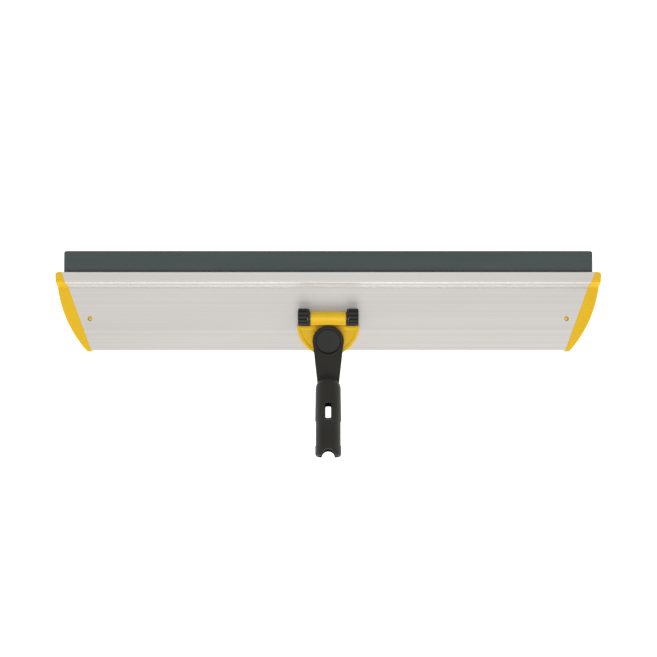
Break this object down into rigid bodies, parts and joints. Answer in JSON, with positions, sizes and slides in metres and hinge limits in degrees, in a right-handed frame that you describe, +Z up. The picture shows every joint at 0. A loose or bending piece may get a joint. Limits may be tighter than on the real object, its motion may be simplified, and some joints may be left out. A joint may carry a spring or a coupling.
{
  "type": "window squeegee head",
  "caption": "Wide flat aluminium squeegee head with a rubber blade, yellow end caps and a black swivelling neck with a socket for a push-in handle.",
  "frame": {"origin": "centre of the working face of the middle hook strip, on the mid-plane of the aluminium profile, halfway along its length", "axes": "+X along the blade, +Y from the neck towards the blade's edge, +Z up out of the plate's top face"},
  "size_m": [0.6096, 0.2275, 0.0626],
  "materials": {
    "aluminium": "satin extruded",
    "blade_rubber": "matt",
    "yellow_plastic": "moulded, semi-gloss",
    "hook_nylon": "woven hook tape",
    "black_plastic": "moulded, satin",
    "steel": "zinc plated",
    "bush_nylon": "natural nylon"
  },
  "bodies": {
    "frame": {"frame_extrusion": "aluminium", "squeegee_blade": "blade_rubber", "end_cap_left": "yellow_plastic", "end_cap_right": "yellow_plastic", "hook_strip_front": "hook_nylon", "hook_strip_middle": "hook_nylon", "hook_strip_rear": "hook_nylon", "hinge_bracket": "black_plastic", "bracket_rivets": "steel"},
    "left_knob": {"tension_knob_left": "black_plastic", "thrust_washer_left": "steel", "hinge_bolt": "steel"},
    "right_knob": {"tension_knob_right": "black_plastic", "thrust_washer_right": "steel", "hinge_nut": "steel"},
    "yoke": {"hinge_yoke": "yellow_plastic", "barrel_bush_left": "bush_nylon", "barrel_bush_right": "bush_nylon", "swivel_screw": "steel", "wear_washer": "bush_nylon", "flat_washer": "steel", "spring_washer": "steel", "swivel_nut": "steel"},
    "neck": {"swivel_neck": "black_plastic", "swivel_cap": "black_plastic"}
  },
  "joints": [
    {"name": "head_tilt", "type": "hinge", "parent": "frame", "child": "yoke", "pos_m": [0, -0.0064, 0.0198], "axis": [-1, 0, 0], "range_deg": [0, 110]},
    {"name": "neck_swivel", "type": "hinge", "parent": "yoke", "child": "neck", "pos_m": [0, -0.0334, 0.0157], "axis": [0, 0, 1], "range_deg": [-90, 90]},
    {"name": "left_knob_turn", "type": "hinge", "parent": "frame", "child": "left_knob", "pos_m": [-0.0282, -0.0064, 0.0198], "axis": [-1, 0, 0], "range_deg": [-180, 180]},
    {"name": "right_knob_turn", "type": "hinge", "parent": "frame", "child": "right_knob", "pos_m": [0.0282, -0.0064, 0.0198], "axis": [1, 0, 0], "range_deg": [-180, 180]}
  ]
}
